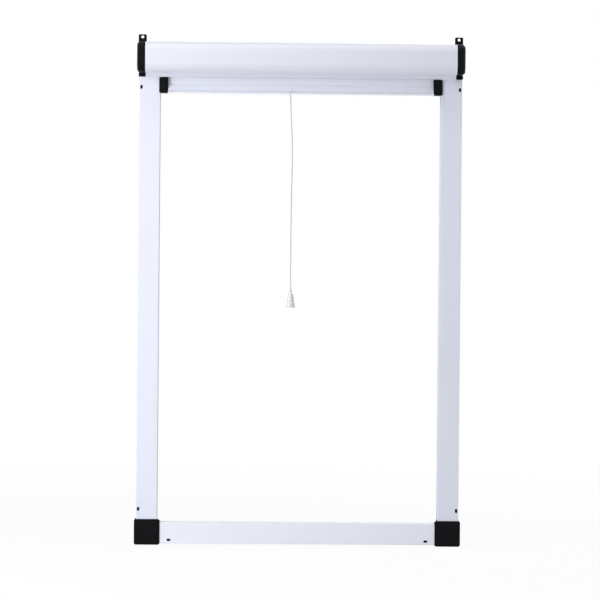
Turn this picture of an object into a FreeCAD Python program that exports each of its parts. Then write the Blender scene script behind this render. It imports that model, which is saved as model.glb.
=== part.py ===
"""Retractable insect screen for a window, in millimetres, +Z up, front towards -Y.

The screen is wound on a sprung roller in the cassette at the top. A pull bar hangs from it and slides
down between two guide rails. The origin is under the middle of the frame, at its lowest edge.
"""
import FreeCAD, Part
import math
import os

import Sketcher
from FreeCAD import Placement, Rotation, Vector

os.makedirs("parts", exist_ok=True)
doc = FreeCAD.newDocument("roller_insect_screen")
sheet = doc.addObject("Spreadsheet::Sheet", "Sizes")
LEFT, RIGHT = -1, 1
SIDES = {"left": LEFT, "right": RIGHT}
finished = []


# Sizes that stay tied to the sheet

class Size:
    """A length that keeps both its value and the sheet expression that gives it."""

    def __init__(self, value, text):
        self.value = float(value)
        self.text = text

    def __add__(self, other):
        other = as_size(other)
        return Size(self.value + other.value, f"({self.text} + {other.text})")

    def __sub__(self, other):
        other = as_size(other)
        return Size(self.value - other.value, f"({self.text} - {other.text})")

    def __mul__(self, other):
        other = as_size(other)
        return Size(self.value * other.value, f"({self.text} * {other.text})")

    def __truediv__(self, other):
        other = as_size(other)
        return Size(self.value / other.value, f"({self.text} / {other.text})")

    def __neg__(self):
        return Size(-self.value, f"(0 - {self.text})")

    def __radd__(self, other):
        return as_size(other) + self

    def __rsub__(self, other):
        return as_size(other) - self

    def __rmul__(self, other):
        return as_size(other) * self


def as_size(number):
    return number if isinstance(number, Size) else Size(number, f"({number:.9g})")


def driving(alias, value, note):
    """Writes one driving dimension into the next row of the sheet and returns it."""
    driving.row += 1
    sheet.set(f"A{driving.row}", note)
    sheet.set(f"B{driving.row}", str(value))
    sheet.setAlias(f"B{driving.row}", alias)
    return Size(value, f"Sizes.{alias}")


driving.row = 0


def bind(thing, place, size):
    thing.setExpression(place, as_size(size).text)


# Driving dimensions

FRAME_WIDTH = driving("frame_width", 400, "over the two guide rails")
RAIL_WIDTH = driving("rail_width", 26, "face of a rail, seen from the front")
RAIL_DEPTH = driving("rail_depth", 20, "front to back of a rail")
WALL = driving("wall", 1.2, "wall of the rails and the pull bar")
SOFT_EDGE = driving("soft_edge", 0.6, "radius on the outer edges of an extrusion")
CHAMBER = driving("chamber", 8.5, "outer chamber of a rail with its two walls")

CASSETTE_DEPTH = driving("cassette_depth", 45, "front to back of the cassette")
CASSETTE_HEIGHT = driving("cassette_height", 42.2, "height of the cassette")
CASSETTE_LENGTH = driving("cassette_length", 384, "cut length of the cassette")
CASSETTE_WALL = driving("cassette_wall", 1.3, "wall of the cassette")
CASSETTE_FLOOR = driving("cassette_floor", 579.5, "height of the cassette's lower edge")
SHOULDER_ROUND = driving("shoulder_round", 10, "upper front radius of the cassette")
BELLY_ROUND = driving("belly_round", 11, "lower front radius of the cassette")
LIP_HEIGHT = driving("lip_height", 4.6, "how far the brush lip hangs below the belly")
LIP_FRONT = driving("lip_front", -4, "front of the brush lip")
LIP_LEAN = driving("lip_lean", 3, "how far the brush lip leans back at its foot")

BLOCK_SIDE = driving("block_side", 31.8, "side of a square corner block")
BLOCK_PROUD = driving("block_proud", 1.9, "how far a corner block hangs below the bottom rail")
BLOCK_OUT = driving("block_out", 2.4, "how far a corner block stands out past the guide rail")
FACE_PLATE = driving("face_plate", 4, "thickness of a corner block's face where nothing is behind it")
LEG_REACH = driving("leg_reach", 34, "length of a connector leg inside a rail")
LEG_SLACK = driving("leg_slack", 0.2, "room between a leg and its chamber")
WINDOW_LONG = driving("window_long", 5, "length of an oblong snap window")
WINDOW_WIDE = driving("window_wide", 3, "width of an oblong snap window")
WINDOW_UP = driving("window_up", 12.6, "guide rail's end to the middle of its snap window")
WINDOW_IN = driving("window_in", 11.2, "bottom rail's end to the middle of its snap window")
NIB_SLACK = driving("nib_slack", 0.2, "room between a snap nib and its window")

SLOT_WIDE = driving("slot_wide", 5.2, "inside width of a brush slot")
SLOT_DEEP = driving("slot_deep", 1.1, "inside depth of a brush slot")
SLOT_HOOK = driving("slot_hook", 0.9, "how far the slot's hooks reach over the brush")
HOOK_THICK = driving("hook_thick", 0.8, "thickness of those hooks")
BACKING_WIDE = driving("backing_wide", 5, "width of a brush backing")
BACKING_THICK = driving("backing_thick", 0.9, "thickness of a brush backing")
PILE_WIDE = driving("pile_wide", 2.8, "width of a brush's pile")
PILE_GAP = driving("pile_gap", 1.3, "pile tip to the plane of the screen")

BAR_LENGTH = driving("bar_length", 328.6, "cut length of the pull bar")
BAR_HEIGHT = driving("bar_height", 19, "height of the pull bar's hollow body")
BAR_DEPTH = driving("bar_depth", 13, "depth of the pull bar's hollow body")
BAR_TUCK = driving("bar_tuck", 0.5, "how far the raised bar's top goes into the cassette's slot")
FACE_LEAN = driving("face_lean", 6.5, "how far the bar's lower face runs out towards the lip")
PULL_LIP = driving("pull_lip", 14, "how far the finger lip stands out in front")
LIP_DROP = driving("lip_drop", 2.5, "how far the lip's nose hangs below the bar's foot")
LIP_THICK = driving("lip_thick", 2, "thickness of the finger lip")
SLIDER_DOWN = driving("slider_down", 1, "gap between the cassette and a raised slider")
SLIDER_DROP = driving("slider_drop", 0.8, "foot of a slider below the bar's foot")
SLIDER_PROUD = driving("slider_proud", 0.5, "how far a slider's block stands out past the bar's body")
CHEEK_OVER = driving("cheek_over", 1.4, "how far a slider's cheek overlaps the rail's face")
CHEEK_THICK = driving("cheek_thick", 1.4, "thickness of that cheek")
CHEEK_SLACK = driving("cheek_slack", 0.3, "room between the cheek and the rail's face")
GROOVE_DOWN = driving("groove_down", 2.9, "bar's top to the middle of its bead groove")
GROOVE_HALF = driving("groove_half", 1.7, "half the width of the bead groove")
MOUTH_HALF = driving("mouth_half", 0.6, "half the width of the groove's mouth")
BEAD_ROUND = driving("bead_round", 1.5, "radius of the bead along the fabric's lower edge")
SHADOW_DOWN = driving("shadow_down", 8.3, "bar's top to the fine groove across its face")
CORD_HOLE = driving("cord_hole", 2.6, "diameter of the cord's hole in the finger lip")

CAP_THICK = driving("cap_thick", 10, "thickness of a cassette end cap")
CHEEK_BEVEL = driving("cheek_bevel", 2.4, "bevel round a cap's outer edge")
FOOT_IN = driving("foot_in", 1, "how far a cap's foot is set in from the cap's two sides")
TAB_RISE = driving("tab_rise", 11.8, "how far a fixing tab stands above the cassette")
TAB_THICK = driving("tab_thick", 3, "thickness of a fixing tab")
TAB_HOLE = driving("tab_hole", 3.8, "diameter of the hole in a fixing tab")
TAB_HOLE_DOWN = driving("tab_hole_down", 3.1, "tab's top edge to the middle of its hole")
PLUG_DEEP = driving("plug_deep", 6, "how far a cap's plug reaches into the cassette")
BOSS_ROUND = driving("boss_round", 6.5, "radius of a cap's bearing boss")
SOCKET_WIDE = driving("socket_wide", 4.4, "width of the square socket for the shaft")
BLOCK_STAND = driving("block_stand", 1.5, "how far a corner block stands in front of the rails")
PANEL_RISE = driving("panel_rise", 0.5, "rise of the raised face of a corner block")

ROLLER_UP = driving("roller_up", 23.5, "cassette's lower edge to the roller's axis")
TUBE_ROUND = driving("tube_round", 9, "outer radius of the roller tube")
TUBE_WALL = driving("tube_wall", 0.8, "wall of the roller tube")
ROLL_ROUND = driving("roll_round", 11.3, "outer radius of the wound screen")
SCREEN_WIDTH = driving("screen_width", 360, "width of the screen fabric")
SCREEN_THICK = driving("screen_thick", 0.25, "thickness of the screen fabric")
SHAFT_ROUND = driving("shaft_round", 3, "radius of the fixed spring shaft")
PIN_ROUND = driving("pin_round", 2.5, "radius of the idler pin")
RUNNING = driving("running", 0.05, "radial clearance of a running fit")
PLUG_REACH = driving("plug_reach", 13, "length of a plug inside the roller tube")
FLANGE = driving("flange", 2, "thickness of a plug's flange")
KEY_WIDE = driving("key_wide", 4.6, "width of a plug's keyway over the tube's rib")
GROOVE_WIDE = driving("groove_wide", 2.2, "width of the tube's bead groove")
GROOVE_DEEP = driving("groove_deep", 2.6, "depth of the tube's bead groove")
COIL_ROUND = driving("coil_round", 5.3, "outer radius of the torsion spring")
COIL_WIRE = driving("coil_wire", 1.1, "wire of the torsion spring")
COIL_START = driving("coil_start", 34, "left end of the torsion spring")
COIL_END = driving("coil_end", 164, "right end of the torsion spring")
COLLAR_LONG = driving("collar_long", 8, "length of the shaft's collar inside the spring")
ANCHOR_LONG = driving("anchor_long", 14, "length of the plug that turns the spring")

CORD_THICK = driving("cord_thick", 1.4, "diameter of the pull cord")
CORD_OUT = driving("cord_out", -4.5, "depth position of the pull cord")
KNOT_WIDE = driving("knot_wide", 4, "diameter of the knot on the lip")
KNOT_UP = driving("knot_up", 0.9, "bar's foot to the underside of the knot on the sloping lip")
BELL_HEIGHT = driving("bell_height", 18, "height of the cord bell without its neck")
BELL_MOUTH = driving("bell_mouth", 11.2, "diameter of the bell at its mouth")
BELL_TOP = driving("bell_top", 6.6, "diameter of the bell at its shoulder")
BELL_WALL = driving("bell_wall", 1.2, "wall of the bell")
BELL_DEEP = driving("bell_deep", 13.5, "depth of the hollow in the bell")
BELL_BORE = driving("bell_bore", 4.4, "diameter of the hollow above the bell's wide mouth")
MOUTH_DEEP = driving("mouth_deep", 6, "depth of the wide part of the bell's hollow")
NECK_ROUND = driving("neck_round", 2, "radius of the bell's neck")
NECK_TOP = driving("neck_top", 317.8, "height of the neck's top")
NECK_LONG = driving("neck_long", 4.3, "length of the neck")

# Places that follow from them

BACK = CASSETTE_DEPTH / 2
RAIL_FRONT = BACK - RAIL_DEPTH
SCREEN_Y = BACK - RAIL_DEPTH / 2
RAIL_OUTER = FRAME_WIDTH / 2
RAIL_INNER = RAIL_OUTER - RAIL_WIDTH
WEB = RAIL_OUTER - CHAMBER
RAIL_START = BLOCK_SIDE
SILL_BOTTOM = BLOCK_PROUD
SILL_TOP = SILL_BOTTOM + RAIL_WIDTH
BLOCK_OUTER = RAIL_OUTER + BLOCK_OUT
BLOCK_INNER = BLOCK_OUTER - BLOCK_SIDE
SILL_WEB = SILL_BOTTOM + CHAMBER
CASSETTE_TOP = CASSETTE_FLOOR + CASSETTE_HEIGHT
CASSETTE_END = CASSETTE_LENGTH / 2
CASSETTE_FRONT = -BACK
BELLY = CASSETTE_FLOOR + LIP_HEIGHT
BAR_TOP = CASSETTE_FLOOR + BAR_TUCK
BAR_BOTTOM = BAR_TOP - BAR_HEIGHT
BAR_FRONT = SCREEN_Y - BAR_DEPTH / 2
BAR_BACK = SCREEN_Y + BAR_DEPTH / 2
BAR_END = BAR_LENGTH / 2
SLIDER_FOOT = BAR_BOTTOM - SLIDER_DROP
SLIDER_TOP = CASSETTE_FLOOR - SLIDER_DOWN
CHEEK_FRONT = RAIL_FRONT - CHEEK_SLACK - CHEEK_THICK
RIB = SLOT_DEEP + HOOK_THICK
ROLLER_Y = SCREEN_Y - ROLL_ROUND - SCREEN_THICK / 2 - RUNNING
ROLLER_Z = CASSETTE_FLOOR + ROLLER_UP
AXIS = (ROLLER_Y, ROLLER_Z)
RAIL_SLOT = RAIL_INNER + WALL + SLOT_WIDE / 2
BRUSH_FRONT = RAIL_FRONT + WALL
BRUSH_BACK = BACK - WALL
SLOT_Z = CASSETTE_FLOOR + WALL + SLOT_WIDE / 2
WINDOW_ACROSS = RAIL_OUTER - WALL - WINDOW_WIDE / 2
SILL_WINDOW_Z = (SILL_BOTTOM + SILL_WEB) / 2
SILL_WINDOW_X = BLOCK_INNER - WINDOW_IN
GROOVE_MIDDLE = BAR_TOP - GROOVE_DOWN
TUBE_END = SCREEN_WIDTH / 2 + 1
PLUG_ROUND = TUBE_ROUND - TUBE_WALL - RUNNING
KEY_FLOOR = ROLLER_Z + TUBE_ROUND - GROOVE_DEEP - TUBE_WALL
KNOT_SEAT = BAR_BOTTOM + KNOT_UP
BELL_SHOULDER = NECK_TOP - NECK_LONG


# Sketches and features

def begin(label):
    """Starts one piece as a body of its own."""
    body = doc.addObject("PartDesign::Body", label)
    body.Label = label
    finished.append(body)
    return body


def unit(start, end):
    length = math.hypot(end[0] - start[0], end[1] - start[1])
    return (end[0] - start[0]) / length, (end[1] - start[1]) / length


def corner_ends(before, corner, after):
    """Where a rounded corner starts and ends, its radius and its turn, positive to the left."""
    here = (corner[0].value, corner[1].value)
    way_in = unit((before[0].value, before[1].value), here)
    way_out = unit(here, (after[0].value, after[1].value))
    if len(corner) == 2:
        return (corner[0], corner[1]), (corner[0], corner[1]), None, 0
    cross = way_in[0] * way_out[1] - way_in[1] * way_out[0]
    turn = math.atan2(cross, way_in[0] * way_out[0] + way_in[1] * way_out[1])
    reach = corner[2] * math.tan(abs(turn) / 2)
    first = (corner[0] - reach * way_in[0], corner[1] - reach * way_in[1])
    last = (corner[0] + reach * way_out[0], corner[1] + reach * way_out[1])
    return first, last, corner[2], turn


def arc_between(first, last, radius, turn):
    """The arc from first to last that turns to the left for a positive turn."""
    a, b = Vector(first[0].value, first[1].value), Vector(last[0].value, last[1].value)
    chord = b - a
    rise = math.sqrt(max(radius.value ** 2 - (chord.Length / 2) ** 2, 0))
    across = Vector(-chord.y, chord.x).normalize() * (rise if turn > 0 else -rise)
    centre = (a + b) * 0.5 + across
    if turn < 0:
        a, b = b, a
    start = math.atan2(a.y - centre.y, a.x - centre.x)
    end = math.atan2(b.y - centre.y, b.x - centre.x)
    if end < start:
        end += 2 * math.pi
    return Part.ArcOfCircle(Part.Circle(centre, Vector(0, 0, 1), radius.value), start, end)


def draw_loop(drawing, corners):
    """Draws a closed outline. A corner is (across, up) or (across, up, radius)."""
    corners = [tuple(as_size(x) for x in corner) for corner in corners]
    count = len(corners)
    ends = [corner_ends(corners[i - 1], corners[i], corners[(i + 1) % count]) for i in range(count)]
    shapes, firsts, lasts, places, rounds = [], [], [], [], []
    for i in range(count):
        first, last, radius, turn = ends[i]
        following = ends[(i + 1) % count][0]
        if radius is not None:
            shapes.append(arc_between(first, last, radius, turn))
            firsts.append(1 if turn > 0 else 2)
            lasts.append(2 if turn > 0 else 1)
            places.append(first)
            rounds.append(radius)
        a = Vector(last[0].value, last[1].value)
        b = Vector(following[0].value, following[1].value)
        if (b - a).Length > 1e-6:
            shapes.append(Part.LineSegment(a, b))
            firsts.append(1)
            lasts.append(2)
            places.append(last)
            rounds.append(None)
    base = drawing.GeometryCount
    drawing.addGeometry(shapes, False)
    rules, sizes = [], []
    for i in range(len(shapes)):
        here, after = base + i, base + (i + 1) % len(shapes)
        rules.append(Sketcher.Constraint("Coincident", here, lasts[i], after, firsts[(i + 1) % len(shapes)]))
        sizes.append(None)
        for kind, size in (("DistanceX", places[i][0]), ("DistanceY", places[i][1])):
            rules.append(Sketcher.Constraint(kind, -1, 1, here, firsts[i], size.value))
            sizes.append(size)
        if rounds[i] is not None:
            rules.append(Sketcher.Constraint("Radius", here, rounds[i].value))
            sizes.append(rounds[i])
    tie(drawing, rules, sizes)


def draw_circle(drawing, across, up, radius):
    across, up, radius = as_size(across), as_size(up), as_size(radius)
    circle = Part.Circle(Vector(across.value, up.value), Vector(0, 0, 1), radius.value)
    place = drawing.addGeometry(circle, False)
    rules = [
        Sketcher.Constraint("DistanceX", -1, 1, place, 3, across.value),
        Sketcher.Constraint("DistanceY", -1, 1, place, 3, up.value),
        Sketcher.Constraint("Radius", place, radius.value),
    ]
    tie(drawing, rules, [across, up, radius])


def tie(drawing, rules, sizes):
    """Adds constraints and ties each dimension among them to its size."""
    base = drawing.ConstraintCount
    drawing.addConstraint(rules)
    for i, size in enumerate(sizes):
        if size is not None:
            bind(drawing, f"Constraints[{base + i}]", size)


def sketch(body, plane, offset=0, loops=(), circles=()):
    """A sketch on one of the body's own planes: XY, XZ or YZ, offset along that plane's normal."""
    drawing = body.newObject("Sketcher::SketchObject", body.Label + "_sketch")
    role = plane + "_Plane"
    support = next(item for item in body.Origin.OriginFeatures if item.Role == role)
    drawing.AttachmentSupport = (support, [""])
    drawing.MapMode = "FlatFace"
    bind(drawing, "AttachmentOffset.Base.z", offset)
    for corners in loops:
        draw_loop(drawing, corners)
    for circle in circles:
        draw_circle(drawing, *circle)
    return drawing


def pad(body, drawing, length, side=RIGHT, both_ways=False):
    feature = body.newObject("PartDesign::Pad", body.Label + "_pad")
    feature.Profile = drawing
    bind(feature, "Length", length)
    feature.Reversed = side == LEFT
    if both_ways:
        feature.SideType = "Symmetric"
    return feature


def cut(body, drawing, depth, side=RIGHT):
    """A pocket from the sketch, along its normal for RIGHT. It has to take material away."""
    doc.recompute()
    before = body.Shape.Volume
    feature = body.newObject("PartDesign::Pocket", body.Label + "_pocket")
    feature.Profile = drawing
    bind(feature, "Length", depth)
    feature.Reversed = side == RIGHT
    doc.recompute()
    if body.Shape.Volume > before - 1e-6:
        raise RuntimeError(f"a pocket in {body.Label} cuts nothing")
    return feature


def soften(body, radius, wanted, kind="Fillet"):
    """Rounds, or for Chamfer bevels, the edges that the test picks."""
    doc.recompute()
    base = body.Tip
    names = [f"Edge{i + 1}" for i, edge in enumerate(base.Shape.Edges) if wanted(edge.BoundBox)]
    feature = body.newObject("PartDesign::" + kind, body.Label + "_" + kind.lower())
    feature.Base = (base, names)
    bind(feature, "Radius" if kind == "Fillet" else "Size", radius)
    return feature


def box(left, low, right, high, radius=None):
    """The four corners of a rectangle, rounded if a radius is given."""
    corners = [(left, low), (right, low), (right, high), (left, high)]
    return corners if radius is None else [corner + (radius,) for corner in corners]


def oblong(across, up, wide, high):
    """A rectangle about its middle with nearly half-round ends."""
    radius = 0.48 * (wide if wide.value < high.value else high)
    return box(across - wide / 2, up - high / 2, across + wide / 2, up + high / 2, radius)


def near(value, size, within=0.01):
    return abs(value - as_size(size).value) < within


# Aluminium extrusions

def slot_corners(middle, floor, outward):
    """A hooked brush slot, from its inner side to its outer, for a slot whose floor faces -outward.

    Each corner is (along, away), along the wall and away from it, as the caller's outline needs them.
    """
    half, mouth = SLOT_WIDE / 2, SLOT_WIDE / 2 - SLOT_HOOK
    rib_half = half + WALL
    hook, tip = floor + SLOT_DEEP * outward, floor + RIB * outward
    return [
        (middle - rib_half, floor),
        (middle - rib_half, tip),
        (middle - mouth, tip),
        (middle - mouth, hook),
        (middle - half, hook),
        (middle - half, floor),
        (middle + half, floor),
        (middle + half, hook),
        (middle + mouth, hook),
        (middle + mouth, tip),
        (middle + rib_half, tip),
        (middle + rib_half, floor),
    ]


def make_guide_rail(name, side):
    """A guide rail: closed outer chamber, inner channel open towards the window with two brush slots."""
    rail = begin(name + "_guide_rail")
    front_slot = slot_corners(RAIL_SLOT, BRUSH_FRONT, 1)[1:]
    back_slot = slot_corners(RAIL_SLOT, BRUSH_BACK, -1)[1:]
    section = [
        (RAIL_INNER, RAIL_FRONT, SOFT_EDGE),
        (RAIL_OUTER, RAIL_FRONT, SOFT_EDGE),
        (RAIL_OUTER, BACK, SOFT_EDGE),
        (RAIL_INNER, BACK, SOFT_EDGE),
        *back_slot,
        (WEB, BRUSH_BACK),
        (WEB, BRUSH_FRONT),
        *reversed(front_slot),
    ]
    chamber = box(WEB + WALL, BRUSH_FRONT, RAIL_OUTER - WALL, BRUSH_BACK)
    loops = [[(side * corner[0], *corner[1:]) for corner in loop] for loop in (section, chamber)]
    pad(rail, sketch(rail, "XY", RAIL_START, loops), CASSETTE_FLOOR - RAIL_START)
    windows = [
        oblong(side * WINDOW_ACROSS, height, WINDOW_WIDE, WINDOW_LONG)
        for height in (RAIL_START + WINDOW_UP, CASSETTE_FLOOR - WINDOW_UP)
    ]
    cut(rail, sketch(rail, "XZ", -RAIL_FRONT, windows), WALL, LEFT)
    return rail


def make_bottom_rail():
    """The sill of the frame: a two-chamber tube with a snap window near each end."""
    rail = begin("bottom_rail")
    loops = [
        box(RAIL_FRONT, SILL_BOTTOM, BACK, SILL_TOP, SOFT_EDGE * 1.6),
        box(BRUSH_FRONT, SILL_BOTTOM + WALL, BRUSH_BACK, SILL_WEB - WALL),
        box(BRUSH_FRONT, SILL_WEB, BRUSH_BACK, SILL_TOP - WALL),
    ]
    pad(rail, sketch(rail, "YZ", 0, loops), BLOCK_INNER * 2, both_ways=True)
    windows = [
        oblong(side * SILL_WINDOW_X, SILL_WINDOW_Z, WINDOW_LONG, WINDOW_WIDE)
        for side in (LEFT, RIGHT)
    ]
    cut(rail, sketch(rail, "XZ", -RAIL_FRONT, windows), WALL, LEFT)
    return rail


def make_cassette():
    """The roller housing: a rounded front, a flat back and a slot below between two brush lips."""
    cassette = begin("cassette_housing")
    floor, wall = CASSETTE_FLOOR + WALL, CASSETTE_WALL
    lip_back = BRUSH_FRONT - WALL
    rear = [(away, along) for along, away in slot_corners(SLOT_Z, BACK - WALL, -1)]
    front = [(away, along) for along, away in slot_corners(SLOT_Z, BRUSH_FRONT, 1)]
    section = [
        (BACK, CASSETTE_FLOOR, SOFT_EDGE),
        (BACK, CASSETTE_TOP, SOFT_EDGE * 2),
        (CASSETTE_FRONT, CASSETTE_TOP, SHOULDER_ROUND),
        (CASSETTE_FRONT, BELLY, BELLY_ROUND),
        (LIP_FRONT, BELLY),
        (LIP_FRONT + LIP_LEAN, CASSETTE_FLOOR, SOFT_EDGE),
        (BRUSH_FRONT + RIB, CASSETTE_FLOOR),
        *front[2:-1],
        (lip_back, front[-1][1]),
        (lip_back, floor),
        (LIP_FRONT + LIP_LEAN + wall, floor),
        (LIP_FRONT + wall, BELLY + wall),
        (CASSETTE_FRONT + wall, BELLY + wall, BELLY_ROUND - wall),
        (CASSETTE_FRONT + wall, CASSETTE_TOP - wall, SHOULDER_ROUND - wall),
        (BACK - WALL, CASSETTE_TOP - wall),
        *reversed(rear[2:]),
        (BACK - WALL - RIB, CASSETTE_FLOOR),
    ]
    pad(cassette, sketch(cassette, "YZ", 0, [section]), CASSETTE_LENGTH, both_ways=True)
    return cassette


def make_pull_bar():
    """The pull bar: hollow body, bead groove on top, brush slot below, and a face that runs out to a lip."""
    bar = begin("pull_bar")
    inner_front, inner_back = BAR_FRONT + WALL, BAR_BACK - WALL
    groove_top, groove_floor = GROOVE_MIDDLE + GROOVE_HALF, GROOVE_MIDDLE - GROOVE_HALF
    nose = LIP_THICK * 0.45
    line, line_half, line_deep = BAR_TOP - SHADOW_DOWN, 0.7, 0.6
    slot = slot_corners(SCREEN_Y, BAR_BOTTOM + RIB, -1)
    nose_y, nose_z = BAR_FRONT - PULL_LIP, BAR_BOTTOM - LIP_DROP
    section = [
        (nose_y, nose_z, nose),
        (BAR_FRONT, BAR_BOTTOM),
        *slot[2:-2],
        (BAR_BACK, BAR_BOTTOM, SOFT_EDGE),
        (BAR_BACK, BAR_TOP, SOFT_EDGE),
        (SCREEN_Y + MOUTH_HALF, BAR_TOP),
        (SCREEN_Y + MOUTH_HALF, groove_top),
        (SCREEN_Y + GROOVE_HALF, groove_top, GROOVE_HALF * 0.9),
        (SCREEN_Y + GROOVE_HALF, groove_floor, GROOVE_HALF * 0.9),
        (SCREEN_Y - GROOVE_HALF, groove_floor, GROOVE_HALF * 0.9),
        (SCREEN_Y - GROOVE_HALF, groove_top, GROOVE_HALF * 0.9),
        (SCREEN_Y - MOUTH_HALF, groove_top),
        (SCREEN_Y - MOUTH_HALF, BAR_TOP),
        (BAR_FRONT, BAR_TOP, SOFT_EDGE),
        (BAR_FRONT, line + line_half),
        (BAR_FRONT + line_deep, line),
        (BAR_FRONT, line - line_half),
        (BAR_FRONT - FACE_LEAN, BAR_BOTTOM + LIP_THICK * 0.8, 6),
        (nose_y, nose_z + LIP_THICK, nose),
    ]
    housing_half = GROOVE_HALF + WALL
    housing_floor = groove_floor - WALL
    hump_half = SLOT_WIDE / 2 + WALL
    hump_top = BAR_BOTTOM + RIB + WALL
    hollow = [
        (inner_front, line - line_half),
        (inner_front - FACE_LEAN + WALL * 0.6, BAR_BOTTOM + WALL),
        (SCREEN_Y - hump_half, BAR_BOTTOM + WALL),
        (SCREEN_Y - hump_half, hump_top),
        (SCREEN_Y + hump_half, hump_top),
        (SCREEN_Y + hump_half, BAR_BOTTOM + WALL),
        (inner_back, BAR_BOTTOM + WALL),
        (inner_back, BAR_TOP - WALL),
        (SCREEN_Y + housing_half, BAR_TOP - WALL),
        (SCREEN_Y + housing_half, housing_floor),
        (SCREEN_Y - housing_half, housing_floor),
        (SCREEN_Y - housing_half, BAR_TOP - WALL),
        (inner_front, BAR_TOP - WALL),
    ]
    pad(bar, sketch(bar, "YZ", 0, [section, hollow]), BAR_LENGTH, both_ways=True)
    hole = (CORD_ROUTE[0][0], CORD_OUT, CORD_HOLE / 2)
    cut(bar, sketch(bar, "XY", nose_z, circles=[hole]), LIP_DROP + LIP_THICK)
    return bar


# Moulded black pieces

def make_end_cap(name, side):
    """A cassette end cap: bevelled cheek, plug ring, fixing tab behind and a leg down into the rail."""
    cap = begin(name + "_end_cap")
    front, top = CASSETTE_FRONT, CASSETTE_TOP
    outer, middle, half = CASSETTE_END + CAP_THICK, CASSETTE_END + CAP_THICK / 2, CAP_THICK / 2
    cheek = [
        (front, BELLY, BELLY_ROUND),
        (BACK, BELLY),
        (BACK, top),
        (front, top, SHOULDER_ROUND),
    ]
    pad(cap, sketch(cap, "YZ", side * CASSETTE_END, [cheek]), CAP_THICK, side)
    soften(cap, CHEEK_BEVEL, lambda edge: near(edge.XMin, side * outer) and near(edge.XMax, side * outer)
           and edge.YMax < BACK.value - 0.01, "Chamfer")
    doc.recompute()

    slack, ring, over_slot = 0.2, 1.6, 0.8
    inset = CASSETTE_WALL + slack
    plug_low = SLOT_Z + SLOT_WIDE / 2 + WALL + over_slot

    def plug(shrink):
        round_top = SHOULDER_ROUND - inset - shrink
        return [
            (CASSETTE_FRONT + inset + shrink, plug_low + shrink, BELLY_ROUND - inset - shrink),
            (BACK - inset - shrink, plug_low + shrink),
            (BACK - inset - shrink, CASSETTE_TOP - inset - shrink),
            (CASSETTE_FRONT + inset + shrink, CASSETTE_TOP - inset - shrink, round_top),
        ]

    pad(cap, sketch(cap, "YZ", side * CASSETTE_END, [plug(0), plug(ring)]), PLUG_DEEP, -side)
    boss = [(ROLLER_Y, ROLLER_Z, BOSS_ROUND)]
    pad(cap, sketch(cap, "YZ", side * CASSETTE_END, circles=boss), PLUG_DEEP, -side)

    root, corner = 9, 1.4
    tab_low, tab_top = CASSETTE_TOP - root, CASSETTE_TOP + TAB_RISE
    tab = [
        (side * middle - half, tab_low),
        (side * middle + half, tab_low),
        (side * middle + half, tab_top, corner),
        (side * middle - half, tab_top, corner),
    ]
    pad(cap, sketch(cap, "XZ", -BACK, [tab]), TAB_THICK)
    hole = [(side * middle, tab_top - TAB_HOLE_DOWN, TAB_HOLE / 2)]
    cut(cap, sketch(cap, "XZ", -BACK, circles=hole), TAB_THICK)

    bevel, short = 1.2, 0.4
    foot = [
        (CASSETTE_END + FOOT_IN, BELLY),
        (CASSETTE_END + FOOT_IN, CASSETTE_FLOOR + bevel),
        (CASSETTE_END + FOOT_IN + bevel, CASSETTE_FLOOR),
        (outer - FOOT_IN - bevel, CASSETTE_FLOOR),
        (outer - FOOT_IN, CASSETTE_FLOOR + bevel),
        (outer - FOOT_IN, BELLY),
    ]
    foot = [(side * x, z) for x, z in foot]
    pad(cap, sketch(cap, "XZ", -BACK, [foot]), BACK - RAIL_FRONT - short)
    add_leg(cap, side, CASSETTE_FLOOR, LEFT)
    return cap


def add_leg(body, side, start, way):
    """A connector leg in a guide rail's chamber, with the snap nib that fills the rail's window."""
    leg = box(WEB + WALL + LEG_SLACK, BRUSH_FRONT + LEG_SLACK,
              RAIL_OUTER - WALL - LEG_SLACK, BRUSH_BACK - LEG_SLACK)
    leg = [(side * x, y) for x, y in leg]
    pad(body, sketch(body, "XY", start, [leg]), LEG_REACH, way)
    nib = oblong(side * WINDOW_ACROSS, start + way * WINDOW_UP,
                 WINDOW_WIDE - 2 * NIB_SLACK, WINDOW_LONG - 2 * NIB_SLACK)
    add_nib(body, nib)


def add_nib(body, outline):
    """A snap nib on the front of a leg, that reaches through the rail's wall nearly to its face."""
    root, short = 1, 0.2
    pad(body, sketch(body, "XZ", -(BRUSH_FRONT + LEG_SLACK + root), [outline]),
        root + LEG_SLACK + WALL - short)


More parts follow.
